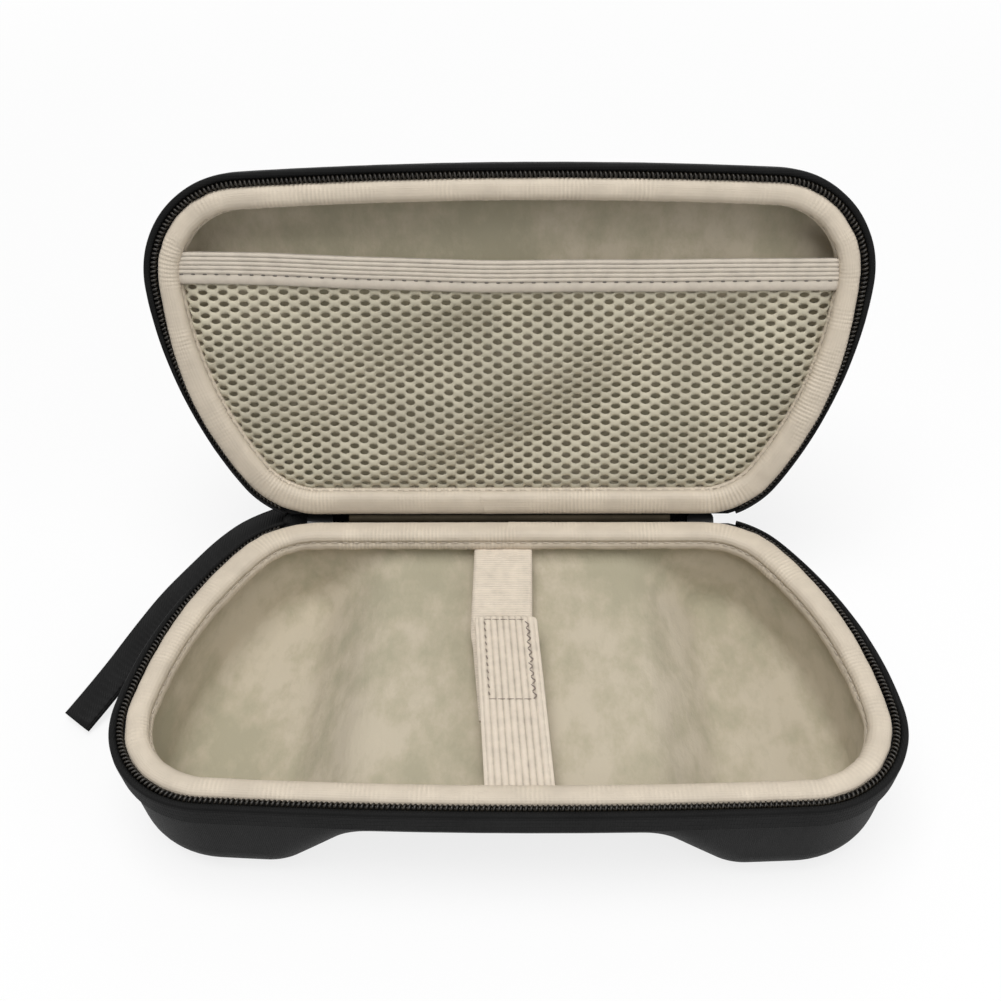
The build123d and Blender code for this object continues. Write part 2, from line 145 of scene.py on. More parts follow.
# Hold-down strap
STRAP_WIDTH = 20.5
STRAP = 1.2
FRONT_STRAP_DEPTH = 3.4
REAR_STRAP_DEPTH = 6.6
REAR_STRAP_X = -2.0
FRONT_STRAP_X = -0.6
FRONT_STRAP_Y = -44.0
FRONT_STRAP_YAW = math.radians(4.4)
TAB_LENGTH = 36.0
TAB_CORNER_R = 2.0
TAB_STITCH_PITCH = 2.9
TAB_END_PITCH = 2.7
STRAP_ROOT = 8.4
REAR_STRAP_SWING = 1.3
RIB_PITCH = 2.05
WEBBING_PITCH = 1.05
PAD_WIDTH = 17.0
PAD_LENGTH = 36.0
PAD_MARGIN = 2.0
PAD_CORNER_R = 2.0
PAD_FUZZ = 0.12
PAD = 1.0

# Sewing
STITCH_PITCH = 3.9
STITCH_LENGTH = 2.4
DOT_LENGTH = 1.4
STITCH_R = 0.24
DOT_R = 0.36

# Hand strap: route from the end of the zip to the floor, heights from the parting plane
HAND_STRAP_WIDTH = 12.0
HAND_STRAP = 2.6
HAND_STRAP_ROUTE = [
    (-81.2, 7.0, -6.2),
    (-91.0, 2.2, -6.3),
    (-100.6, -5.3, -8.6),
    (-110.0, -14.8, -13.0),
    (-120.0, -24.3, -18.5),
    (-129.0, -33.6, -26.0),
    (-139.4, -46.6, -34.6),
    (-149.6, -60.2, -40.4),
]

# Colours
BINDING = (0.62, 0.54, 0.435)
ELASTIC = (0.69, 0.605, 0.5)
# painted shade: the straps' elastic made darker for the pocket band, which faces forward on the open lid and
# gets less light from above
BAND_SHADED_ELASTIC = (0.56, 0.5, 0.42)
PLUSH = (0.46, 0.41, 0.305)
PLUSH_SHADE = (0.4, 0.365, 0.265)
PLUSH_LIGHT = (0.525, 0.465, 0.36)
NET_COLOUR = (0.49, 0.45, 0.345)
BLACK = (0.006, 0.006, 0.006)
HINGE_BROWN = (0.03, 0.024, 0.015)
COIL = (0.016, 0.013, 0.009)
THREAD_GREY = (0.12, 0.105, 0.09)
THREAD_TAUPE = (0.24, 0.2, 0.165)

# Light: place in metres, size in metres and power in watts of each lamp
LAMP_TARGET = (0, 0, 0.05)
LAMPS = [
    ("key", (-0.1, -0.2, 1.25), 0.8, 12.3),
    ("fill", (0.7, -0.6, 0.7), 0.9, 3.0),
    ("back", (0.1, 0.8, 0.8), 0.8, 1.5),
]
WORLD_LIGHT = 0.24
FLOOR_HALF = 6.0
FLOOR_GREY = (0.92, 0.92, 0.92)
FLOOR_NEAR = (0.25, 0.8)
FLOOR_FAR = (0.9, 1.0)

# Camera, in millimetres from the hinge line, fitted to the photograph
CAMERA_SPOT = (7.538, -295.639, 278.126)
CAMERA_ELEVATION = math.radians(42.9)
CAMERA_AZIMUTH = math.radians(-1.93)
CAMERA_ROLL = math.radians(-1.41)
FOCAL_PIXELS = 1134.0
IMAGE_SIZE = 1001
PRINCIPAL_POINT = (502.0, 511.0)

lid_joint = next(j for j in frame["joints"] if j["name"] == "lid_hinge")
HINGE_Y = lid_joint["pos_m"][1] / MM
RIM_Z = lid_joint["pos_m"][2] / MM
OPEN_ANGLE = math.radians(-lid_joint["range_deg"][0])
REAR_Y = -HINGE_SETBACK
REAR_STRAP_Y = REAR_Y - 7.6
FRONT_Y = REAR_Y - RIM_DEPTH - FRONT_BOW


# Rim geometry

def bearing(start, end):
    return math.atan2(end.y - start.y, end.x - start.x)


def rim_arcs():
    """Tangent arcs of the rim's right half, from back to front: centre, radius, first and last angle."""
    rear = Vector((REAR_HALF_WIDTH, REAR_Y))
    front = Vector((FRONT_HALF_WIDTH, REAR_Y - RIM_DEPTH))
    chord = front - rear
    side_r = chord.length_squared / (8 * SIDE_BOW) + SIDE_BOW / 2
    outward = Vector((-chord.y, chord.x)).normalized()
    side = (rear + front) / 2 - outward * (side_r - SIDE_BOW)
    front_r = FRONT_HALF_WIDTH**2 / (2 * FRONT_BOW) + FRONT_BOW / 2
    nose = Vector((0, FRONT_Y + front_r))
    rear_y = REAR_Y - REAR_CORNER_R
    rear_x = side.x + math.sqrt((side_r - REAR_CORNER_R) ** 2 - (rear_y - side.y) ** 2)
    rear_corner = Vector((rear_x, rear_y))
    reach_side = side_r - FRONT_CORNER_R
    reach_nose = front_r - FRONT_CORNER_R
    link = nose - side
    along = (reach_side**2 - reach_nose**2 + link.length_squared) / (2 * link.length)
    across = math.sqrt(reach_side**2 - along**2)
    aside = Vector((link.y, -link.x)).normalized()
    front_corner = side + link.normalized() * along + aside * across
    turns = [math.pi / 2, bearing(side, rear_corner), bearing(side, front_corner)]
    turns += [bearing(nose, front_corner), -math.pi / 2]
    centres = [(rear_corner, REAR_CORNER_R), (side, side_r), (front_corner, FRONT_CORNER_R), (nose, front_r)]
    return [(c, r, a, b) for (c, r), a, b in zip(centres, turns, turns[1:])]


ARCS = rim_arcs()
REAR_X = ARCS[0][0].x
HALF_RIM = REAR_X + sum(r * (a - b) for _, r, a, b in ARCS)


def rim_at(s):
    """Point and outward normal on the rim, at a distance round it from the middle of the back."""
    s %= 2 * HALF_RIM
    side = 1 if s <= HALF_RIM else -1
    run = s if side > 0 else 2 * HALF_RIM - s
    if run <= REAR_X:
        return Vector((side * run, REAR_Y)), Vector((0, 1))
    run -= REAR_X
    for centre, radius, first, last in ARCS:
        length = radius * (first - last)
        if run <= length or last == ARCS[-1][3]:
            turn = first - run / radius
            normal = Vector((math.cos(turn), math.sin(turn)))
            point = centre + radius * normal
            return Vector((side * point.x, point.y)), Vector((side * normal.x, normal.y))
        run -= length


def stations(first, last, step):
    """Evenly spaced distances round the rim."""
    return np.linspace(first, last, max(2, round((last - first) / step) + 1))


def ring_end(outer):
    """Distance from the back's middle at which a ring of the rim passes in front of the hinge line."""
    turn = math.acos((REAR_CORNER_R + HINGE_SETBACK - PARTING) / (REAR_CORNER_R + outer))
    return REAR_X + REAR_CORNER_R * turn


def rim_bend(s):
    """How sharply the rim turns: about 1 in its corners and near 0 along its straights."""
    return min((rim_at(s + 3)[1] - rim_at(s - 3)[1]).length * REAR_CORNER_R / 6, 1)


RIM_POINTS = np.array([rim_at(s)[0] for s in stations(0, 2 * HALF_RIM, 2)])
SIDE_RUN = [rim_at(s) for s in stations(REAR_X, HALF_RIM, 1)]
SIDE_POINTS = np.array([p for p, _ in SIDE_RUN])
SIDE_NORMALS = np.array([n for _, n in SIDE_RUN])


def half_width(y, inset):
    """Half the width across the rim, less an inset, at a distance from the hinge."""
    inner = SIDE_POINTS - SIDE_NORMALS * inset
    return float(np.interp(-y, -inner[:, 1], inner[:, 0]))


def rim_distance(x, y):
    """Distance from a point to the rim's outline."""
    return float(np.hypot(RIM_POINTS[:, 0] - x, RIM_POINTS[:, 1] - y).min())


def base_place(x, y, depth):
    return (x, y + HINGE_Y, RIM_Z - depth)


def lid_place(x, y, depth):
    turned_y = y * math.cos(OPEN_ANGLE) + depth * math.sin(OPEN_ANGLE)
    turned_z = -y * math.sin(OPEN_ANGLE) + depth * math.cos(OPEN_ANGLE)
    return (x, turned_y + HINGE_Y, turned_z + RIM_Z)


HALVES = {"base": base_place, "lid": lid_place}


def wobble(x, y, z, size, seed=0):
    """Smooth noise between -1 and 1 that changes over a length."""
    return noise.noise(Vector((x / size + 17.3 * seed, y / size, z / size)))


def smooth_step(low, high, value):
    t = min(max((value - low) / (high - low), 0), 1)
    return t * t * (3 - 2 * t)


def zip_share(y, body):
    """Share of the zip that shows beside the binding: none near the hinge, all of it at the front."""
    return smooth_step(*ZIP_SHOWS[body], y)


# Meshes

def add_object(name, points, faces, material, uvs=None):
    """Smooth-shaded object from points in millimetres, with one UV in metres for each face corner."""
    mesh = bpy.data.meshes.new(name)
    mesh.from_pydata([tuple(c * MM for c in p) for p in points], [], faces)
    mesh.polygons.foreach_set("use_smooth", [True] * len(faces))
    mesh.materials.append(material)
    if uvs is not None:
        layer = mesh.uv_layers.new(name="UVMap")
        layer.data.foreach_set("uv", np.array(uvs, dtype=np.float32).ravel() * MM)
    obj = bpy.data.objects.new(name, mesh)
    bpy.context.scene.collection.objects.link(obj)
    return obj


def add_grid(name, rows, material, wrap_rows=False, groove_shades=None):
    """Object from rows of points joined by quads. Its UV runs along the rows and round each one.

    Groove shades, from 0 to 1 for each point, are painted shade: they darken a material that reads them, in
    each groove between ribs.
    """
    count = len(rows[0])
    points = [p for row in rows for p in row]
    table = np.array(rows, dtype=float)
    along = np.concatenate([[0], np.cumsum(np.linalg.norm(np.diff(table, axis=0), axis=2).mean(axis=1))])
    loop = np.concatenate([table[0], table[0][:1]])
    around = np.concatenate([[0], np.cumsum(np.linalg.norm(np.diff(loop, axis=0), axis=1))])
    along = np.append(along, along[-1] + along[1])
    faces = []
    uvs = []
    for i in range(len(rows) if wrap_rows else len(rows) - 1):
        for j in range(count):
            corners = [(i, j), (i + 1, j), (i + 1, j + 1), (i, j + 1)]
            faces.append([(a % len(rows)) * count + b % count for a, b in corners])
            uvs += [(along[a], around[b]) for a, b in corners]
    if not wrap_rows:
        for i in (0, len(rows) - 1):
            faces.append([i * count + j for j in range(count)])
            uvs += [(along[i], around[j]) for j in range(count)]
    obj = add_object(name, points, faces, material, uvs)
    face_outward(obj)
    if groove_shades is not None:
        layer = obj.data.attributes.new("groove", "FLOAT", "POINT")
        layer.data.foreach_set("value", np.array(groove_shades, dtype=np.float32).ravel())
    return obj


def face_outward(obj):
    work = bmesh.new()
    work.from_mesh(obj.data)
    bmesh.ops.recalc_face_normals(work, faces=work.faces)
    work.to_mesh(obj.data)
    work.free()


def apply_modifiers(obj):
    """Bake an object's modifiers into its mesh."""
    graph = bpy.context.evaluated_depsgraph_get()
    mesh = bpy.data.meshes.new_from_object(obj.evaluated_get(graph))
    obj.modifiers.clear()
    obj.data = mesh


def dress(obj, body, slot, *nodes):
    """Ride on a body and stand for CAD nodes; the slot, a finish's name, is not used."""
    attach(obj, body)
    if nodes:
        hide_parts(*nodes)
    return obj


# Materials

class Shader:
    """Short way to lay out one material's nodes."""

    def __init__(self, name, colour, roughness, **sockets):
        self.material = bpy.data.materials.new(name)
        self.material.use_nodes = True
        self.tree = self.material.node_tree
        self.surface = self.tree.nodes["Principled BSDF"]
        self.surface.inputs["Base Color"].default_value = (*colour, 1)
        self.surface.inputs["Roughness"].default_value = roughness
        named = {socket.name.lower().replace(" ", "_"): socket for socket in self.surface.inputs}
        for key, value in sockets.items():
            named[key].default_value = value
        self.bumps = None

    def node(self, kind, **inputs):
        made = self.tree.nodes.new("ShaderNode" + kind)
        for key, value in inputs.items():
            socket = made.inputs[int(key[1:])] if key[0] == "i" and key[1:].isdigit() else made.inputs[key]
            if isinstance(value, bpy.types.NodeSocket):
                self.tree.links.new(value, socket)
            else:
                socket.default_value = value
        return made

    def coordinates(self, kind="Object"):
        return self.node("TexCoord").outputs[kind]

    def scaled(self, vector, scale):
        return self.node("Mapping", Vector=vector, Scale=scale).outputs["Vector"]

    def noise(self, vector, size, detail=3, rough=0.55):
        """Noise with features of a size in millimetres."""
        made = self.node("TexNoise", Vector=vector, Scale=1 / (size * MM), Detail=detail, Roughness=rough)
        return made.outputs["Fac"]

    def lines(self, vector, pitch, axis="X", wander=0):
        """Soft parallel lines at a pitch in millimetres."""
        made = self.node("TexWave", Vector=vector, Scale=1 / (pitch * MM) * math.pi / 10, Distortion=wander)
        made.bands_direction = axis
        return made.outputs["Fac"]

    def ramp(self, fac, *stops):
        made = self.node("ValToRGB", Fac=fac)
        ramp = made.color_ramp
        while len(ramp.elements) < len(stops):
            ramp.elements.new(0.5)
        for element, (place, colour) in zip(ramp.elements, stops):
            element.position = place
            element.color = (*colour, 1)
        return made.outputs["Color"]

    def math(self, operation, a, b):
        made = self.node("Math", i0=a, i1=b)
        made.operation = operation
        return made.outputs[0]

    def colour(self, socket):
        self.tree.links.new(socket, self.surface.inputs["Base Color"])

    def bump(self, height, depth, strength=1.0):
        """Add a bump of a depth in millimetres on top of those before it."""
        made = self.node("Bump", Height=height, Strength=strength, Distance=depth * MM)
        if self.bumps is not None:
            self.tree.links.new(self.bumps, made.inputs["Normal"])
        self.bumps = made.outputs["Normal"]
        self.tree.links.new(self.bumps, self.surface.inputs["Normal"])


def mixed(colour, factor):
    return tuple(c * factor for c in colour)


def plush_material():
    """Short pile, brushed into patches that lie one way or the other."""
    made = Shader("plush", PLUSH, 0.95, sheen_weight=0.12, sheen_roughness=0.6, specular_ior_level=0.1)
    place = made.coordinates()
    patches = made.noise(place, 34, detail=2, rough=0.5)
    strokes = made.noise(made.scaled(place, (1, 0.6, 0.8)), 7, detail=6, rough=0.65)
    tone = made.math("ADD", made.math("MULTIPLY", patches, 0.55), made.math("MULTIPLY", strokes, 0.45))
    made.colour(made.ramp(tone, (0.42, PLUSH_SHADE), (0.5, PLUSH), (0.58, PLUSH_LIGHT)))
    made.bump(strokes, 0.9, 0.5)
    made.bump(made.noise(made.scaled(place, (1, 0.4, 0.6)), 1.6, detail=3), 0.35, 0.6)
    return made.material


def binding_material():
    """Woven tape over padding: ribs across the bead that come and go, with a little sheen."""
    made = Shader("binding", BINDING, 0.6, sheen_weight=0.08, sheen_roughness=0.4, specular_ior_level=0.3)
    place = made.coordinates()
    ribs = made.lines(made.coordinates("UV"), 1.35, "X", wander=0.8)
    spread = made.node("MapRange", Value=made.noise(place, 14, detail=2), i1=0.45, i2=0.65)
    patchy = made.math("MULTIPLY", ribs, spread.outputs[0])
    cloudy = made.math("MULTIPLY", made.noise(place, 10), 0.8)
    tones = made.math("ADD", made.math("MULTIPLY", patchy, 0.3), cloudy)
    made.colour(made.ramp(tones, (0.25, mixed(BINDING, 0.88)), (0.8, mixed(BINDING, 1.1))))
    made.bump(made.noise(place, 5, detail=3), 0.4, 0.5)
    made.bump(patchy, 0.16, 0.7)
    made.bump(made.lines(made.coordinates("UV"), 1.0, "Y"), 0.06, 0.5)
    made.bump(made.noise(place, 0.5), 0.08, 0.6)
    return made.material


def woven_black(name, colour, roughness, pitch=0.6):
    """Black woven cloth."""
    made = Shader(name, colour, roughness, specular_ior_level=0.09)
    place = made.coordinates()
    rows = made.lines(place, pitch, "X")
    columns = made.lines(place, pitch, "Z")
    weave = made.math("MULTIPLY", rows, columns)
    tones = made.noise(place, 12, detail=5)
    made.colour(made.ramp(tones, (0.3, mixed(colour, 0.8)), (0.7, mixed(colour, 1.3))))
    made.bump(made.noise(place, 0.35), 0.08, 0.6)
    made.bump(weave, 0.15, 0.7)
    return made.material


def elastic_material(name, tone):
    """Knitted elastic: the ribs are modelled, and the yarn is a fine bump. Its colour darkens in each groove
    between the ribs as painted shade, read from the groove attribute.
    """
    made = Shader(name, tone, 0.7, sheen_weight=0.08, sheen_roughness=0.4, specular_ior_level=0.25)
    place = made.coordinates()
    yarn = made.noise(place, 4, detail=4)
    groove_shades = made.node("Attribute")
    groove_shades.attribute_name = "groove"
    # painted shade: the groove value darkens the yarn tone, down to half the elastic's colour
    tones = made.math("SUBTRACT", yarn, made.math("MULTIPLY", groove_shades.outputs["Fac"], 0.8))
    stops = [(0.0, mixed(tone, 0.5)), (0.6, mixed(tone, 0.92)), (1.0, mixed(tone, 1.06))]
    made.colour(made.ramp(made.math("ADD", tones, 0.3), *stops))
    made.bump(made.noise(place, 0.4), 0.08, 0.7)
    return made.material


def net_material():
    made = Shader("net", NET_COLOUR, 0.7, sheen_weight=0.08, specular_ior_level=0.25)
    place = made.coordinates()
    tones = made.noise(place, 22, detail=3)
    made.colour(made.ramp(tones, (0.35, mixed(NET_COLOUR, 0.88)), (0.65, mixed(NET_COLOUR, 1.08))))
    made.bump(made.noise(place, 0.35), 0.1, 0.8)
    return made.material


def coil_material():
    made = Shader("coil", COIL, 0.34, specular_ior_level=0.4)
    place = made.coordinates()
    made.colour(made.ramp(made.noise(place, 3), (0.35, mixed(COIL, 0.6)), (0.7, mixed(COIL, 1.5))))
    return made.material


def enamel_material():
    made = Shader("enamel", BLACK, 0.32, metallic=0.3, coat_weight=0.3)
    made.bump(made.noise(made.coordinates(), 1.2), 0.02, 0.4)
    return made.material


def hook_material():
    made = Shader("hook_and_loop", ELASTIC, 0.9, sheen_weight=0.3)
    place = made.coordinates()
    made.colour(made.ramp(made.noise(place, 0.8), (0.35, mixed(ELASTIC, 0.7)), (0.7, ELASTIC)))
    made.bump(made.noise(place, 0.7), 0.4, 0.8)
    return made.material


def thread_material(name, colour):
    made = Shader(name, colour, 0.6, sheen_weight=0.1)
    made.bump(made.noise(made.coordinates(), 0.25), 0.05, 0.6)
    return made.material


PLUSH_CLOTH = plush_material()
BINDING_CLOTH = binding_material()
SHELL_CLOTH = woven_black("shell_cloth", BLACK, 0.55)
TAPE_CLOTH = woven_black("tape_cloth", mixed(BLACK, 1.1), 0.62, 0.8)
HINGE_CLOTH_FINISH = woven_black("hinge_cloth", HINGE_BROWN, 0.7, 0.7)
STRAP_CLOTH = woven_black("hand_strap_cloth", mixed(BLACK, 1.2), 0.5, 0.9)
ELASTIC_CLOTH = elastic_material("elastic", ELASTIC)
# the band's elastic colour carries painted shade, set darker than the straps' same elastic
BAND_SHADED_CLOTH = elastic_material("band_elastic", BAND_SHADED_ELASTIC)
NET_CLOTH = net_material()
COIL_NYLON = coil_material()
ENAMEL = enamel_material()
HOOK_CLOTH = hook_material()
BINDING_THREAD = thread_material("beige_thread", mixed(BINDING, 0.8))
DARK_THREAD = thread_material("dark_thread", THREAD_GREY)
TAB_THREAD = thread_material("taupe_thread", THREAD_TAUPE)


# Linings

PLUSH_VOXEL = 1.3


def add_lining(body):
    """Plush over the inside of a half, uneven as brushed pile is."""
    node = body + "_lining"
    source = frame["nodes"][node]
    obj = bpy.data.objects.new(body + "_plush", source.data.copy())
    bpy.context.scene.collection.objects.link(obj)
    obj.data.materials.clear()
    obj.data.materials.append(PLUSH_CLOTH)
    remesh = obj.modifiers.new("even", "REMESH")
    remesh.mode = "VOXEL"
    remesh.voxel_size = PLUSH_VOXEL * MM
    apply_modifiers(obj)
    count = len(obj.data.vertices)
    places = np.empty(count * 3, dtype=np.float32)
    normals = np.empty(count * 3, dtype=np.float32)
    obj.data.vertices.foreach_get("co", places)
    obj.data.vertex_normals.foreach_get("vector", normals)
    swell = [0.35 * wobble(*p, 14) + 0.18 * wobble(*p, 5, 1) for p in (places / MM).reshape(-1, 3)]
    obj.data.vertices.foreach_set("co", places + normals * np.repeat(swell, 3) * MM)
    obj.data.polygons.foreach_set("use_smooth", [True] * len(obj.data.polygons))
    return dress(obj, body, "plush", node)


# Binding

def bead_profile():
    """Padded roll as seen along the rim, from its outer foot over the crown to the groove."""
    profile = []
    for turn in np.linspace(0, math.pi, 17):
        across = math.cos(turn)
        drop = BEAD_OUTER_DROP if across > 0 else BEAD_INNER_DROP
        crown = (1 - abs(across) ** 2.4) ** (1 / 2.4)
        profile.append((BEAD_MIDDLE + BEAD_HALF * across, PARTING + drop * (1 - crown)))
    return profile


BEAD_PROFILE = bead_profile()
HEM_PROFILE = [
    (-7.55, 3.45), (-7.9, 3.75), (-8.2, 4.3), (-8.3, 5.0),
    (-8.25, 5.8), (-8.05, 6.5), (-7.6, 6.95), (-6.7, 6.95),
]
BINDING_BACK = [(-6.1, 4.5), (-5.7, 2.7), (-3.2, 2.45)]


def seam_lift(s, across, body):
    """Height of the step where the binding's end laps over its start, on a slant across the bead."""
    past = (s + HALF_RIM) % (2 * HALF_RIM) - HALF_RIM - SEAM_S[body] - 0.9 * across
    return SEAM_STEP * smooth_step(-0.3, 0.3, past) * math.exp(-max(past, 0) / 14)


def binding_row(s, body):
    """Section of the binding at a distance round the rim: bead, groove and wavy hem."""
    seed = 1 if body == "lid" else 2
    point, normal = rim_at(s)
    rear = max(normal.y, 0)
    reach = (BEAD_REACH + (BEAD_REACH_REAR - BEAD_REACH) * rear) * (1 - zip_share(point.y, body))
    ruck = 0.1 + 0.26 * rim_bend(s)
    row = []
    x, y = point
    pucker = ruck * wobble(x, y, 0, 6, seed) + 0.08 * wobble(x, y, 0, 2.2, seed + 1)
    wave = 0.5 * wobble(x, y, 0, 11, seed + 4) + 0.3 * wobble(x, y, 0, 3, seed + 5)
    for grow, depth in BEAD_PROFILE:
        across = (grow - BEAD_MIDDLE) / BEAD_HALF
        crown = max(1 - across * across, 0)
        depth += crown * pucker - seam_lift(s, across, body) * (0.35 + 0.65 * crown)
        grow += reach * max(across, 0) + ruck * wobble(x, y, depth, 5, seed + 2)
        row.append((grow, max(depth, PARTING - 0.1)))
    for grow, depth in HEM_PROFILE:
        hang = (depth - HEM_PROFILE[0][1]) / 3.5
        grow += 0.25 * wobble(x, y, depth, 5, seed + 6) * hang - (depth - PARTING) * DRAFT
        row.append((grow, depth + hang * wave))
    row += [(grow - (depth - PARTING) * DRAFT, depth) for grow, depth in BINDING_BACK]
    place = HALVES[body]
    return [place(x + normal.x * g, y + normal.y * g, d) for g, d in row]


def add_binding(body):
    """Padded bead with its hem, all round the rim of a half."""
    near_seam = stations(-16, 16, 0.35)
    rest = stations(16, 2 * HALF_RIM - 16, 1.0)[1:-1]
    rows = [binding_row(s, body) for s in np.concatenate([near_seam, rest])]
    obj = add_grid(body + "_binding_roll", rows, BINDING_CLOTH, wrap_rows=True)
    dress(obj, body, "binding", body + "_binding")
    add_binding_stitches(body)


def add_binding_stitches(body):
    """Sewing along the groove between the bead and the hem."""
    inset = SEWING_IN + 3.3 * DRAFT
    spots = []
    for s in np.arange(0, 2 * HALF_RIM, STITCH_PITCH):
        ends = []
        for shift in (0, STITCH_LENGTH):
            point, normal = rim_at(s + shift)
            spot = point - normal * inset
            ends.append(HALVES[body](spot.x, spot.y, SEWING_DEPTH))
        spots.append(ends)
    obj = add_stitches(body + "_binding_stitches", spots, STITCH_R, BINDING_THREAD)
    dress(obj, body, "binding")


# Zip

def tape_profile():
    """Tape folded over the edge of the wall: from the coil outward, then down with woven ridges."""
    outside = [(1.2, 1.3), (1.35, 0.8), (2.0, 0.55), (2.7, 0.55), (3.15, 0.8), (3.38, 1.25)]
    for i in range(12):
        ridge = 0.09 if i % 2 else -0.02
        outside.append((TAPE_OUT + ridge, 1.8 + i * (TAPE_FOOT - 2.2) / 11))
    outside += [(TAPE_OUT - 0.1, TAPE_FOOT - 0.1), (TAPE_OUT - TAPE, TAPE_FOOT)]
    return outside + [(TAPE_OUT - TAPE, 2.6), (1.3, 1.9)]


def add_tape(body):
    """Woven zip tape, from one end of the zip round the front to the other."""
    place = HALVES[body]
    section = tape_profile()
    end = ring_end(TAPE_OUT)
    rows = []
    for s in stations(end, 2 * HALF_RIM - end, 1.5):
        point, normal = rim_at(s)
        share = zip_share(point.y, body)
        row = []
        for out, depth in section:
            tucked = float(np.interp(out, TUCK_FROM, TUCK_TO))
            grow = tucked + (out - tucked) * share - max(depth - TAPE_TOP, 0) * DRAFT
            grow += 0.05 * wobble(point.x, point.y, depth, 6, 3)
            row.append(place(point.x + normal.x * grow, point.y + normal.y * grow, depth))
        rows.append(row)
    obj = add_grid(body + "_tape", rows, TAPE_CLOTH)
    return dress(obj, body, "zip_tape", body + "_zip_tape")


def tube_rows(path, radius, sides=6):
    """Rings round a path of points, carried along without twist."""
    points = [Vector(p) for p in path]
    before = points[:1] + points[:-1]
    after = points[1:] + points[-1:]
    tangents = [(b - a).normalized() for a, b in zip(before, after)]
    side = tangents[0].orthogonal().normalized()
    rows = []
    for point, tangent in zip(points, tangents):
        side = (side - tangent * side.dot(tangent)).normalized()
        up = tangent.cross(side)
        turns = [2 * math.pi * k / sides for k in range(sides)]
        rows.append([tuple(point + (side * math.cos(t) + up * math.sin(t)) * radius) for t in turns])
    return rows


def coil_rows(length, place):
    """Tube rows of a flattened nylon helix; place turns a run and a section offset into a point."""
    steps = 10
    turns = round(length / COIL_PITCH)
    path = []
    for i in range(turns * steps + 1):
        turn = 2 * math.pi * i / steps
        flat = math.copysign(abs(math.cos(turn)) ** 0.6, math.cos(turn))
        out = (COIL_HALF - COIL_WIRE_R) * flat
        rise = (COIL_HEIGHT / 2 - COIL_WIRE_R) * math.sin(turn)
        path.append(place(length * i / (turns * steps), out, rise))
    return tube_rows(path, COIL_WIRE_R)


def add_coil(body):
    """Nylon coil: one flattened helix along the edge of the tape."""
    end = ring_end(TAPE_OUT) + COIL_START

    def place(run, out, rise):
        point, normal = rim_at(end + run)
        share = zip_share(point.y, body)
        size = 0.45 + 0.55 * share
        grow = (1 - share) + size * out
        depth = PARTING + COIL_HEIGHT / 2 + 0.45 * (1 - share) + size * rise
        return HALVES[body](point.x + normal.x * grow, point.y + normal.y * grow, depth)

    obj = add_grid(body + "_coil", coil_rows(2 * (HALF_RIM - end), place), COIL_NYLON)
    return dress(obj, body, "zip_coil", body + "_zip_coil")


# Sewing

def add_stitches(name, spots, radius, material):
    """One mesh of short threads, each sunk a little at both ends; spots are pairs of points."""
    points = []
    faces = []
    sides = 6
    for start, end in spots:
        a = Vector(start)
        b = Vector(end)
        first = len(points)
        path = [a.lerp(b, t) for t in (0, 0.12, 0.5, 0.88, 1)]
        for middle, row, share in zip(path, tube_rows(path, radius, sides), (0.35, 0.85, 1.0, 0.85, 0.35)):
            points += [tuple(middle + (Vector(p) - middle) * share) for p in row]
        last = first + (len(path) - 1) * sides
        for ring in range(first, last, sides):
            for j in range(sides):
                k = (j + 1) % sides
                faces.append([ring + j, ring + k, ring + sides + k, ring + sides + j])
        faces.append(list(range(first, first + sides))[::-1])
        faces.append(list(range(last, last + sides)))
    obj = add_object(name, points, faces, material)
    face_outward(obj)
    return obj


# Mesh pocket

def band_middle(x):
    """The band hangs a little higher at its left end."""
    return BAND_Y - BAND_RISE * smooth_step(0, 110, -x)


def net_swell(x, y):
    """How far the net stands out: a soft fold from upper right to lower left, and a hollow beside it."""
    edge = rim_distance(x, y)
    hold = smooth_step(9, 30, edge) * smooth_step(0, 18, y - BAND_Y - 4)
    across = (x - 12) * 0.62 + (y + 56) * 0.78
    fold = 2.4 * math.exp(-((across / 12) ** 2)) - 3.2 * math.exp(-(((across - 24) / 14) ** 2))
    fold -= 2.5 * math.exp(-(((across + 26) / 14) ** 2))
    sink = (NET_EDGE_DEPTH - NET_DEPTH) * smooth_step(13, 8, edge)
    return hold * (fold + 0.7 * wobble(x, y, 0, 34, 3)) + 0.12 * wobble(x, y, 0, 9, 6) - sink


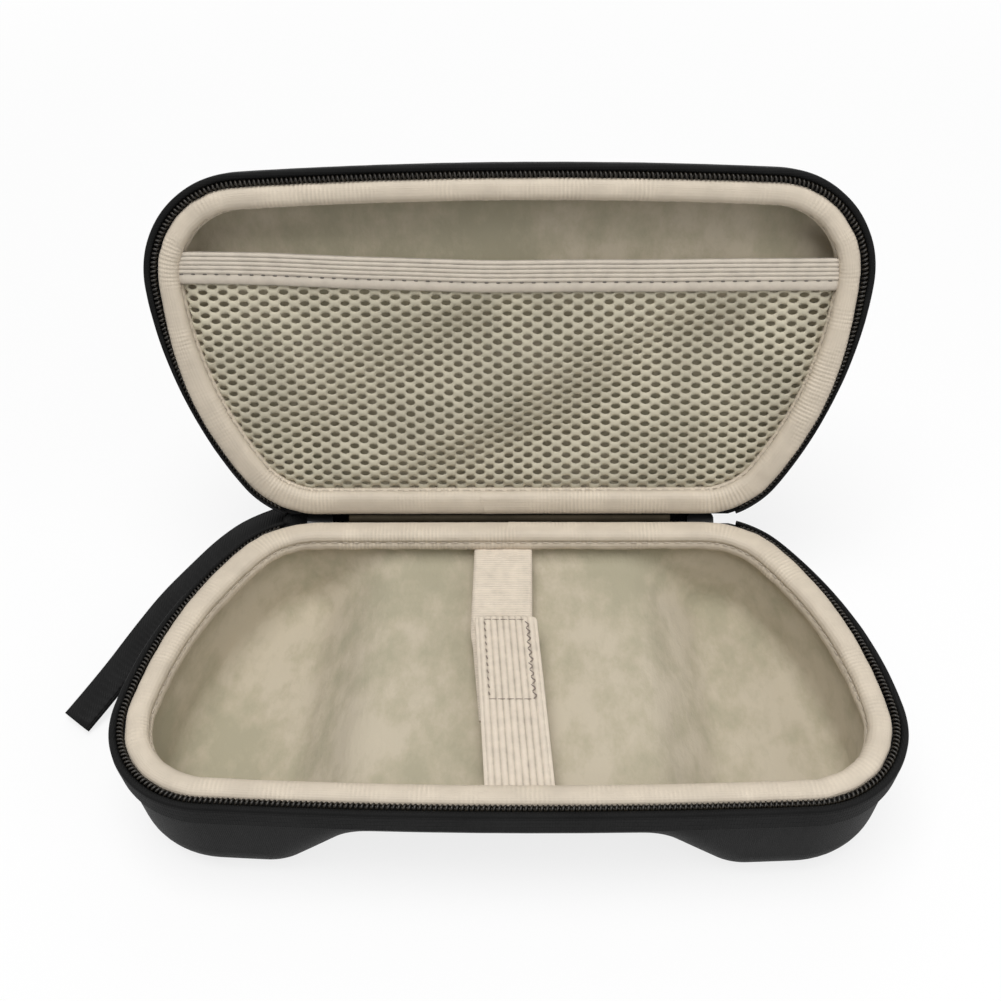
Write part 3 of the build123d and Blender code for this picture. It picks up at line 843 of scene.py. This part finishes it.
def add_net():
    """Knitted net: a hexagonal cell round each gap, with rounded threads."""
    pitch = NET_PITCH
    column = pitch * math.sin(math.pi / 3)
    reach = pitch / math.sqrt(3)
    corners = [(reach * math.cos(k * math.pi / 3), reach * math.sin(k * math.pi / 3)) for k in range(6)]
    border = []
    for a, b in zip(corners, corners[1:] + corners[:1]):
        border += [a, ((a[0] + b[0]) / 2, (a[1] + b[1]) / 2)]
    points = []
    faces = []
    columns = int(FRONT_HALF_WIDTH / column)
    for i in range(-columns, columns + 1):
        for j in range(int(-BAND_Y / pitch) + 1):
            x = i * column
            y = -6.0 - (j + i % 2 / 2) * pitch
            inside = abs(x) < half_width(y, NET_INSET) and y > band_middle(x) - 1
            if not inside:
                continue
            size = 1 + 0.06 * wobble(x, y, 0, 6, 5)
            first = len(points)
            for share, lift in ((1, 0.0), (0.5, 0.1), (0, 0.42)):
                for bx, by in border:
                    turn = math.atan2(by / pitch, bx / reach)
                    hx = size * NET_HOLE_WIDTH / 2 * math.cos(turn)
                    hy = size * NET_HOLE_HEIGHT / 2 * math.sin(turn)
                    px = x + bx * share + hx * (1 - share)
                    py = y + by * share + hy * (1 - share)
                    depth = NET_DEPTH + lift - net_swell(px, py)
                    points.append(lid_place(px, py, depth))
            for ring in range(2):
                for k in range(12):
                    a = first + ring * 12 + k
                    b = first + ring * 12 + (k + 1) % 12
                    faces.append([a, b, b + 12, a + 12])
    obj = add_object("pocket_net", points, faces, NET_CLOTH)
    work = bmesh.new()
    work.from_mesh(obj.data)
    bmesh.ops.remove_doubles(work, verts=work.verts, dist=0.05 * MM)
    bmesh.ops.recalc_face_normals(work, faces=work.faces)
    area = sum(face.calc_area() for face in work.faces)
    work.to_mesh(obj.data)
    work.free()
    solid = obj.modifiers.new("thread", "SOLIDIFY")
    solid.thickness = NET * MM
    solid.offset = 0
    apply_modifiers(obj)
    obj.data.polygons.foreach_set("use_smooth", [True] * len(obj.data.polygons))
    return dress(obj, "lid", "mesh", "mesh_pocket")


def band_spot(x, v, depth):
    """Place on the pocket's band, by the distance from its middle towards the net."""
    sag = 0.35 * wobble(x, 0, 0, 40, 4)
    return lid_place(x, band_middle(x) + v + sag, depth)


def rib(run, pitch):
    """Rounded rib between two sharp grooves: 0 in a groove and 1 on the crown."""
    return abs(math.sin(math.pi * run / pitch)) ** 0.7


def band_rib(v):
    """Ribs of the band above its sewing line, and one wide fold below it."""
    below = BAND_HEIGHT / 2 - BAND_SEWING
    return rib(v - BAND_SEWING, BAND_RIB_PITCH if v < BAND_SEWING else below)


def add_band():
    """Ribbed elastic along the pocket's mouth, with a line of stitches along it."""
    half = BAND_HEIGHT / 2
    levels = np.linspace(-half, half, 89)
    face = [(v, BAND_DEPTH - 0.4 * band_rib(v) - 0.25 * (1 - (v / half) ** 4)) for v in levels]
    back = [(v, BAND_DEPTH + BAND) for v in np.linspace(half, -half, 6)]
    rows = []
    for t in np.linspace(-1, 1, 121):
        row = [(t * half_width(BAND_Y + v, BAND_INSET), v, depth) for v, depth in face + back]
        rows.append([band_spot(*spot) for spot in row])
    # painted shade for each groove between the band's ribs
    groove_shades = [[(1 - band_rib(v)) ** 2 for v, _ in face] + [0] * len(back)] * len(rows)
    obj = add_grid("pocket_band", rows, BAND_SHADED_CLOTH, groove_shades=groove_shades)
    dress(obj, "lid", "elastic", "pocket_elastic")
    reach = half_width(BAND_Y, BAND_INSET + 0.8)
    level = BAND_DEPTH - 0.3
    starts = np.arange(-reach, reach, STITCH_PITCH)
    spots = [[band_spot(x + d, BAND_SEWING, level) for d in (0, DOT_LENGTH)] for x in starts]
    stitches = add_stitches("pocket_band_stitches", spots, DOT_R, DARK_THREAD)
    dress(stitches, "lid", "elastic")


# Straps in the base

def front_lean(v):
    """Sideways shift of the front strap, at a distance from its rear end."""
    return v * math.tan(FRONT_STRAP_YAW)


def rear_lean(v):
    """Sideways shift of the rear strap, which swings over to follow the tab that it is stuck to."""
    past = max(v - (REAR_STRAP_Y - FRONT_STRAP_Y), 0)
    return REAR_STRAP_SWING * math.tan(FRONT_STRAP_YAW) * past * smooth_step(0, 12, past)


def strap_spot(origin, lean, u, v, depth):
    """Place on a strap that runs to the front: u across it and v along from its rear end."""
    return base_place(origin[0] + u + lean(v), origin[1] - v, depth)


def add_strap(name, origin, lean, length, depth, ribs, along_step, across_step, corner_r=0):
    """Flat ribbed strap with rounded edges, and with rounded corners at its rear end; each groove between its
    ribs carries painted shade for the material.
    """
    rows = []
    groove_shades = []
    for v in np.linspace(0, length, round(length / along_step) + 1):
        half = STRAP_WIDTH / 2
        if v < corner_r:
            half -= corner_r - math.sqrt(corner_r**2 - (corner_r - v) ** 2)
        row = []
        # sunk collects each point's painted groove shade, which the elastic material darkens by
        sunk = []
        for share in np.linspace(-1, 1, round(STRAP_WIDTH / across_step) + 1):
            edge = 0.4 * abs(share) ** 18 + 0.35 * max(1 - v / 0.8, 0) ** 2
            relief, groove = ribs(share * half, v)
            row.append((share * half, v, depth - relief + edge))
            sunk.append(groove)
        row += [(u, v, depth + STRAP) for u in (half, 0, -half)]
        rows.append([strap_spot(origin, lean, *spot) for spot in row])
        groove_shades.append(sunk + [0, 0, 0])
    return add_grid(name, rows, ELASTIC_CLOTH, groove_shades=groove_shades)


def front_ribs(u, v):
    """Lengthwise ribs of the elastic between its selvedges, and a ridge where the tab's end is sewn down: the
    relief, and painted shade for each groove between the ribs.
    """
    tab = 0.3 * smooth_step(0.6, -0.6, v - TAB_LENGTH)
    middle = smooth_step(STRAP_WIDTH / 2 - 0.6, STRAP_WIDTH / 2 - 1.4, abs(u))
    crown = rib(u + RIB_PITCH / 2, RIB_PITCH)
    return tab + 0.2 + (0.55 * crown - 0.3) * middle, 0.9 * (1 - crown) ** 1.5 * middle


def rear_ribs(u, v):
    """Cross ribs of the webbing: the relief, and painted shade for each groove between them."""
    crown = rib(v, WEBBING_PITCH)
    return 0.2 * crown + 0.06 * wobble(u, v, 0, 4), 0.5 * (1 - crown) ** 1.5


def tab_sewing():
    """Sewing round the tab: short stitches down one side, a wavering row down the other, thin ends."""
    left = -7.3
    right = 6.9
    sides = []
    for v in np.arange(3.0, TAB_LENGTH - 2, TAB_STITCH_PITCH):
        sides.append(((left, v), (left + 0.4, v + DOT_LENGTH)))
        wave = 0.5 * wobble(v, 0, 0, 3, 9)
        sides.append(((right - 0.7 + wave, v), (right + 0.6 + wave, v + 1.3)))
        sides.append(((right + 0.6 + wave, v + 1.5), (right - 0.5 + wave, v + 2.7)))
    ends = []
    for u in np.arange(left, right - 1, TAB_END_PITCH):
        ends.append(((u, 2.1), (u + STITCH_LENGTH, 2.1)))
        ends.append(((u, TAB_LENGTH - 1.2), (u + STITCH_LENGTH, TAB_LENGTH - 1.2)))
    return sides, ends


def add_front_strap():
    """Elastic from the front wall, with its tab sewn round the hook pad."""
    origin = (FRONT_STRAP_X, FRONT_STRAP_Y)
    length = FRONT_STRAP_Y - FRONT_Y - STRAP_ROOT
    steps = {"along_step": 0.8, "across_step": 0.15, "corner_r": TAB_CORNER_R}
    obj = add_strap("front_elastic", origin, front_lean, length, FRONT_STRAP_DEPTH, front_ribs, **steps)
    dress(obj, "base", "elastic", "front_strap")
    level = FRONT_STRAP_DEPTH - 0.75
    for kind, lines, radius in zip(("sides", "ends"), tab_sewing(), (STITCH_R, 0.6 * STITCH_R)):
        spots = [[strap_spot(origin, front_lean, u, v, level) for u, v in line] for line in lines]
        stitches = add_stitches("tab_stitches_" + kind, spots, radius, TAB_THREAD)
        dress(stitches, "base", "elastic")


def add_rear_strap():
    """Webbing from the rear wall."""
    length = REAR_STRAP_Y - (FRONT_STRAP_Y - PAD_LENGTH - 2 * PAD_MARGIN)
    origin = (REAR_STRAP_X, REAR_STRAP_Y)
    steps = {"along_step": 0.15, "across_step": 1.0}
    obj = add_strap("rear_webbing", origin, rear_lean, length, REAR_STRAP_DEPTH, rear_ribs, **steps)
    dress(obj, "base", "elastic", "rear_strap")


def add_pad(name, node, origin, lean, start, depth):
    """Fuzzy pad of hook and loop tape on a strap, from a distance along it."""
    across = np.linspace(-1, 1, 35)
    rows = []
    for run in np.linspace(0, PAD_LENGTH, 73):
        edge = min(run, PAD_LENGTH - run, PAD_CORNER_R)
        half = PAD_WIDTH / 2 - PAD_CORNER_R + math.sqrt(PAD_CORNER_R**2 - (PAD_CORNER_R - edge) ** 2)
        v = start + run
        widths = across * half
        top = [(u, v, depth + PAD_FUZZ * wobble(u, v, 0, 0.8, 7)) for u in widths]
        bottom = [(u, v, depth + PAD - PAD_FUZZ * wobble(u, v, 0, 0.8, 8)) for u in widths[::-1]]
        rows.append([strap_spot(origin, lean, *spot) for spot in top + bottom])
    obj = add_grid(name, rows, HOOK_CLOTH)
    dress(obj, "base", "hook_and_loop", node)


def add_straps():
    add_front_strap()
    add_rear_strap()
    front = (FRONT_STRAP_X, FRONT_STRAP_Y)
    rear = (REAR_STRAP_X, REAR_STRAP_Y)
    loop_start = REAR_STRAP_Y - FRONT_STRAP_Y + PAD_MARGIN
    add_pad("hook_tape", "hook_pad", front, front_lean, PAD_MARGIN, FRONT_STRAP_DEPTH + STRAP)
    add_pad("loop_tape", "loop_pad", rear, rear_lean, loop_start, REAR_STRAP_DEPTH - PAD)


# Hinge and zip ends

def bent_sheet(name, section, first_x, last_x, cloth, material, shape=None):
    """Cloth with one cross-section, given as points in the plane across the hinge line, from base to lid."""
    points = [Vector(p) for p in section]
    rows = []
    for x in np.linspace(first_x, last_x, max(2, round(abs(last_x - first_x) / 1.5) + 1)):
        near = []
        far = []
        for i, point in enumerate(points):
            tangent = points[min(i + 1, len(points) - 1)] - points[max(i - 1, 0)]
            normal = Vector((-tangent.y, tangent.x)).normalized()
            ripple = 0.06 * wobble(x, i, 0, 5, 8)
            for side, target in ((0.5, near), (-0.5, far)):
                spot = point + normal * (cloth * side + ripple)
                along, spot = shape(i, x, spot) if shape else (x, spot)
                target.append((along, spot.x + HINGE_Y, spot.y + RIM_Z))
        rows.append(near + far[::-1])
    return add_grid(name, rows, material)


def lid_section(y, depth):
    """Point across the hinge line on the open lid, as a distance back and up from the line."""
    turned = lid_place(0, y, depth)
    return (turned[1] - HINGE_Y, turned[2] - RIM_Z)


def place_section(y, z):
    """Point across the hinge line, in metres in the shared frame."""
    return (0, (HINGE_Y + y) * MM, (RIM_Z + z) * MM)


def add_hinge():
    """Cloth strip folded over the hinge line."""
    out = REAR_WALL_Y + 0.1 + HINGE_CLOTH / 2
    runs = np.linspace(HINGE_LEAF, 0.9, 10)
    section = [(out, -d) for d in runs] + [(out, -0.45), lid_section(out, 0.45)]
    section += [lid_section(out, d) for d in runs[::-1]]
    obj = bent_sheet("hinge_cloth", section, -HINGE_HALF, HINGE_HALF, HINGE_CLOTH, HINGE_CLOTH_FINISH)
    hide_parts("hinge_strip")
    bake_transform(obj)


def fold_section(u, v):
    """Point across the hinge line: u out midway between the two rear walls, v from there to the lid."""
    half = math.pi / 2 - OPEN_ANGLE / 2
    return (u * math.sin(half) + v * math.cos(half), -u * math.cos(half) + v * math.sin(half))


def add_zip_end(name, side):
    """Both tapes leave the rear walls beside the hinge and meet in the closed chain."""
    out = REAR_WALL_Y + 0.1 + END_CLOTH / 2
    base_hem = [(out, -d) for d in np.linspace(END_SEAM + END_HEM, END_SEAM, 5)]
    lid_hem = [lid_section(out, d) for d in np.linspace(END_SEAM, END_SEAM + END_HEM, 5)]
    face = [fold_section(CHAIN_U, v) for v in np.linspace(-END_FLANK, END_FLANK, 15)]
    base_flank = [tuple(Vector(base_hem[-1]).lerp(Vector(face[0]), t)) for t in (0.35, 0.7)]
    lid_flank = [tuple(Vector(face[-1]).lerp(Vector(lid_hem[0]), t)) for t in np.linspace(0.07, 0.93, 13)]
    section = base_hem + base_flank + face + lid_flank + lid_hem
    shares = [0] * 5 + [0.35, 0.7] + [1] * 15 + list(np.linspace(0.93, 0.07, 13)) + [0] * 5
    first = HINGE_HALF + 0.2
    last = ring_end(TAPE_OUT) - 0.2

    def notched(i, x, spot):
        """Past the slider the two tapes part, so the middle of the cloth ends sooner."""
        return first + (x - first) * (1 - shares[i] * END_NOTCH / (last - first)), spot

    def gathered(i, x, spot):
        """Past the slider the cloth is drawn in to the walls, round the root of the hand strap."""
        drawn = shares[i] * smooth_step(first + END_GATHER_FROM, last, -x)
        return x - END_TUCK * drawn, spot * (1 - END_GATHER * drawn)

    shape = notched if side > 0 else gathered
    obj = bent_sheet(name + "_tape", section, side * first, side * last, END_CLOTH, TAPE_CLOTH, shape)
    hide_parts(name)
    bend = [place_section(*fold_section(*spot)) for spot in END_BEND]
    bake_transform(obj)

    def place(run, across, rise):
        y, z = fold_section(CHAIN_U + rise, across)
        return (side * (first + run), y + HINGE_Y, z + RIM_Z)

    chain = add_grid(name + "_chain", coil_rows((last - first) / 2, place), COIL_NYLON)
    dress(chain, "base", "zip_coil")


# Hand strap

def route_points(name, route):
    """Points along the smooth curve through a route's control points."""
    data = bpy.data.curves.new(name, "CURVE")
    data.dimensions = "3D"
    data.resolution_u = 12
    spline = data.splines.new("NURBS")
    spline.points.add(len(route) - 1)
    for point, spot in zip(spline.points, route):
        point.co = (*spot, 1)
    spline.use_endpoint_u = True
    spline.order_u = 3
    holder = bpy.data.objects.new(name, data)
    bpy.context.scene.collection.objects.link(holder)
    graph = bpy.context.evaluated_depsgraph_get()
    mesh = bpy.data.meshes.new_from_object(holder.evaluated_get(graph))
    points = [v.co.copy() for v in mesh.vertices]
    bpy.data.objects.remove(holder)
    return points


def add_hand_strap():
    """Flat loop of black tape: two layers with a groove along each edge."""
    route = [base_place(x, y, -z) for x, y, z in HAND_STRAP_ROUTE]
    path = route_points("hand_strap_route", route)
    half = HAND_STRAP_WIDTH / 2
    thick = HAND_STRAP / 2
    section = [(-half + 0.5, thick), (0, thick), (half - 0.5, thick), (half, thick - 0.5), (half - 0.1, 0.25)]
    section += [(half - 0.8, 0), (half - 0.1, -0.25), (half, -thick + 0.5), (half - 0.5, -thick), (0, -thick)]
    section += [(-half + 0.5, -thick), (-half, -thick + 0.5), (-half + 0.1, -0.25), (-half + 0.8, 0)]
    section += [(-half + 0.1, 0.25), (-half, thick - 0.5)]
    rows = []
    for i, point in enumerate(path):
        tangent = (path[min(i + 1, len(path) - 1)] - path[max(i - 1, 0)]).normalized()
        across = Vector((0, 0, 1)).cross(tangent).normalized()
        up = tangent.cross(across)
        rows.append([tuple(point + across * u + up * v) for u, v in section])
    obj = add_grid("wrist_loop", rows, STRAP_CLOTH)
    lengths = [(b - a).length for a, b in zip(path, path[1:])]
    tuple(c * MM for c in route[0])
    return dress(obj, "base", "hand_strap", "hand_strap")


# Stage

def add_stage():
    """Pale floor that takes the object's shadow and whitens to the camera further away."""
    mesh = bpy.data.meshes.new("floor")
    corners = [(-1, -1), (1, -1), (1, 1), (-1, 1)]
    mesh.from_pydata([(x * FLOOR_HALF, y * FLOOR_HALF, 0) for x, y in corners], [], [(0, 1, 2, 3)])
    floor = bpy.data.objects.new("floor", mesh)
    bpy.context.scene.collection.objects.link(floor)
    made = Shader("floor", FLOOR_GREY, 0.9, specular_ior_level=0.0)
    rays = made.node("LightPath")
    seen = made.math("ADD", rays.outputs["Is Camera Ray"], rays.outputs["Is Glossy Ray"])
    reach = made.node("VectorMath", i0=made.coordinates())
    reach.operation = "LENGTH"
    whiter = made.node("MapRange", Value=reach.outputs["Value"])
    for kind, value in zip(("From Min", "To Min"), FLOOR_NEAR):
        whiter.inputs[kind].default_value = value
    for kind, value in zip(("From Max", "To Max"), FLOOR_FAR):
        whiter.inputs[kind].default_value = value
    share = made.math("MULTIPLY", seen, whiter.outputs[0])
    glow = made.node("Emission", Color=(1, 1, 1, 1), Strength=1.0)
    mix = made.node("MixShader", i0=share, i1=made.surface.outputs[0], i2=glow.outputs[0])
    made.tree.links.new(mix.outputs[0], made.tree.nodes["Material Output"].inputs["Surface"])
    floor.data.materials.append(made.material)
    floor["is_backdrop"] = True


def add_lamp(name, spot, size, power):
    """Square soft box turned to the object."""
    data = bpy.data.lights.new(name, "AREA")
    data.energy = power
    data.size = size
    lamp = bpy.data.objects.new(name, data)
    lamp.location = spot
    lamp.rotation_euler = (Vector(LAMP_TARGET) - Vector(spot)).to_track_quat("-Z", "Y").to_euler()
    bpy.context.scene.collection.objects.link(lamp)


def add_light():
    """Surroundings that are white to look at and dimmer as a light, and the lamps."""
    world = bpy.data.worlds.new("studio")
    bpy.context.scene.world = world
    world.use_nodes = True
    tree = world.node_tree
    background = tree.nodes["Background"]
    background.inputs["Color"].default_value = (1, 1, 1, 1)
    rays = tree.nodes.new("ShaderNodeLightPath")
    level = tree.nodes.new("ShaderNodeMapRange")
    level.inputs["To Min"].default_value = WORLD_LIGHT
    level.inputs["To Max"].default_value = 1.0
    seen = rays.outputs["Is Camera Ray"]
    for kind in ("Is Glossy Ray", "Is Transmission Ray"):
        both = tree.nodes.new("ShaderNodeMath")
        both.operation = "ADD"
        tree.links.new(seen, both.inputs[0])
        tree.links.new(rays.outputs[kind], both.inputs[1])
        seen = both.outputs[0]
    tree.links.new(seen, level.inputs["Value"])
    tree.links.new(level.outputs[0], background.inputs["Strength"])
    for name, spot, size, power in LAMPS:
        add_lamp(name, spot, size, power)


def add_camera():
    """Camera at the photograph's view, with its small shift of the frame."""
    data = bpy.data.cameras.new("camera")
    data.sensor_width = 36.0
    data.lens = FOCAL_PIXELS / IMAGE_SIZE * data.sensor_width
    data.shift_x = -(PRINCIPAL_POINT[0] - IMAGE_SIZE / 2) / IMAGE_SIZE
    data.shift_y = (PRINCIPAL_POINT[1] - IMAGE_SIZE / 2) / IMAGE_SIZE
    data.clip_start = 0.01
    camera = bpy.data.objects.new("camera", data)
    flat = math.cos(CAMERA_ELEVATION)
    drop = math.sin(CAMERA_ELEVATION)
    ahead = Vector((flat * math.sin(CAMERA_AZIMUTH), flat * math.cos(CAMERA_AZIMUTH), -drop))
    right = Vector((math.cos(CAMERA_AZIMUTH), -math.sin(CAMERA_AZIMUTH), 0))
    up = right.cross(ahead)
    turned_right = right * math.cos(CAMERA_ROLL) + up * math.sin(CAMERA_ROLL)
    turned_up = up * math.cos(CAMERA_ROLL) - right * math.sin(CAMERA_ROLL)
    spot = Vector(CAMERA_SPOT) + Vector((0, HINGE_Y, RIM_Z))
    pose = Matrix((turned_right, turned_up, -ahead)).transposed().to_4x4()
    camera.matrix_world = Matrix.Translation(spot * MM) @ pose
    bpy.context.scene.collection.objects.link(camera)
    bpy.context.scene.camera = camera


def finish_cad_nodes():
    """Materials of the nodes that show as they are."""
    finishes = {
        "base_shell": SHELL_CLOTH, "lid_shell": SHELL_CLOTH,
        "slider_left": ENAMEL, "slider_right": ENAMEL, "pull_left": ENAMEL, "pull_right": ENAMEL,
    }
    for name, material in finishes.items():
        mesh = frame["nodes"][name].data
        mesh.materials.clear()
        mesh.materials.append(material)


finish_cad_nodes()
for half in HALVES:
    add_lining(half)
    add_binding(half)
    add_tape(half)
    add_coil(half)
add_net()
add_band()
add_straps()
add_hinge()
add_zip_end("zip_end_left", -1)
add_zip_end("zip_end_right", 1)
add_hand_strap()
add_stage()
add_light()
add_camera()
bpy.context.scene.view_settings.view_transform = "Standard"

boxes = {"cad": cad_bounds, "visual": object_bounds()}
{k: [list(map(float, corner)) for corner in v] for k, v in boxes.items()}
